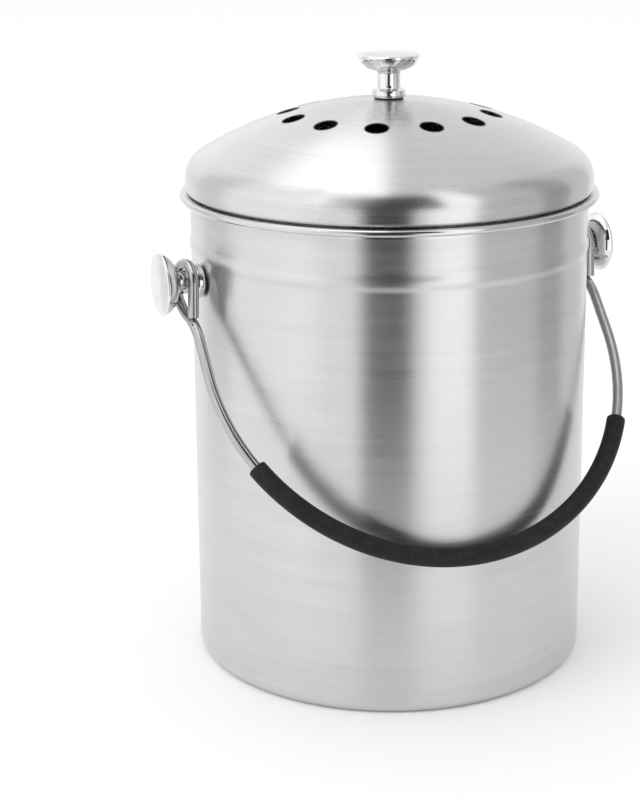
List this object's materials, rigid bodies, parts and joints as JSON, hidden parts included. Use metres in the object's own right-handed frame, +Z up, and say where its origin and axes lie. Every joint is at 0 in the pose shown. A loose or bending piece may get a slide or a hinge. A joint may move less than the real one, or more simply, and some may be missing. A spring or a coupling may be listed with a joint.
{
  "type": "compost caddy",
  "caption": "Round steel compost caddy: straight pail with rolled rim, swinging bail with sleeve grip, and a lift-off domed lid with vent holes and a filter retainer.",
  "frame": {"origin": "centre of the base, on the pail's axis, at the height of the table", "axes": "+Z up, the two ears on the X axis, -Y is the front, where the bail rests"},
  "size_m": [0.2148, 0.1881, 0.2703],
  "materials": {
    "bucket": "satin, fine lines round the wall",
    "lid_dome": "satin, fine lines round the dome",
    "plug_ring": "satin",
    "filter_retainer": "fine satin",
    "knob_polish": "polished",
    "bail_wire": "polished",
    "grip_sleeve": "matt with a soft sheen",
    "seal_rubber": "matt",
    "screw_steel": "bright",
    "charcoal_felt": "fibrous felt"
  },
  "bodies": {
    "pail": {"bucket": "bucket", "ear_seal_left": "seal_rubber", "ear_seal_right": "seal_rubber", "ear_knob_left": "knob_polish", "ear_knob_right": "knob_polish", "ear_washer_left": "screw_steel", "ear_washer_right": "screw_steel", "ear_screw_left": "screw_steel", "ear_screw_right": "screw_steel"},
    "bail": {"bail_wire": "bail_wire", "grip_sleeve": "grip_sleeve"},
    "lid": {"lid_dome": "lid_dome", "plug_ring": "plug_ring", "lid_seal": "seal_rubber", "lid_knob": "knob_polish", "lid_washer": "screw_steel", "lid_screw": "screw_steel"},
    "retainer": {"filter_retainer": "filter_retainer"},
    "filter": {"charcoal_filter": "charcoal_felt"}
  },
  "joints": [
    {"name": "bail_swing", "type": "hinge", "parent": "pail", "child": "bail", "pos_m": [0, 0, 0.1771], "axis": [-1, 0, 0], "range_deg": [0, 277]},
    {"name": "lid_lift", "type": "slide", "parent": "pail", "child": "lid", "axis": [0, 0, 1], "range_m": [0, 0.12]},
    {"name": "retainer_pull", "type": "slide", "parent": "lid", "child": "retainer", "axis": [0, 0, -1], "range_m": [0, 0.0095]},
    {"name": "filter_lift", "type": "slide", "parent": "retainer", "child": "filter", "axis": [0, 0, 1], "range_m": [0, 0.02]}
  ]
}
